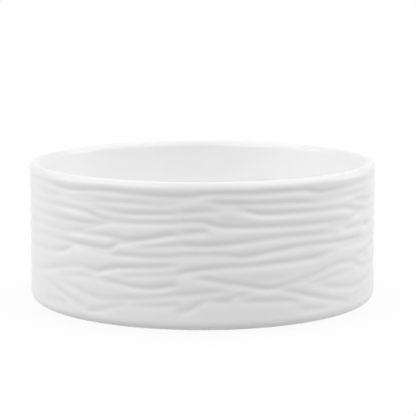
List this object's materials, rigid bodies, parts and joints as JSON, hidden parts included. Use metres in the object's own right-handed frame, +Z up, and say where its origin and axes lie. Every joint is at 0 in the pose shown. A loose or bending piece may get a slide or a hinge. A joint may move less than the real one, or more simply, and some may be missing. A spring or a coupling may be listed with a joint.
{
  "type": "shaving bowl",
  "caption": "Round porcelain shaving bowl with straight rippled sides, a rounded rim and a smooth glazed inside for working up lather.",
  "frame": {"origin": "centre of the foot ring, on the table", "axes": "+Z up through the middle of the bowl; -Y is the side that the picture shows"},
  "size_m": [0.12, 0.12, 0.0489],
  "materials": {
    "porcelain": "bare fired porcelain, matt",
    "glaze": "glossy white glaze"
  },
  "bodies": {
    "root": {"porcelain_body": "porcelain", "outer_glaze": "glaze", "inner_glaze": "glaze", "base_glaze": "glaze"}
  },
  "joints": []
}
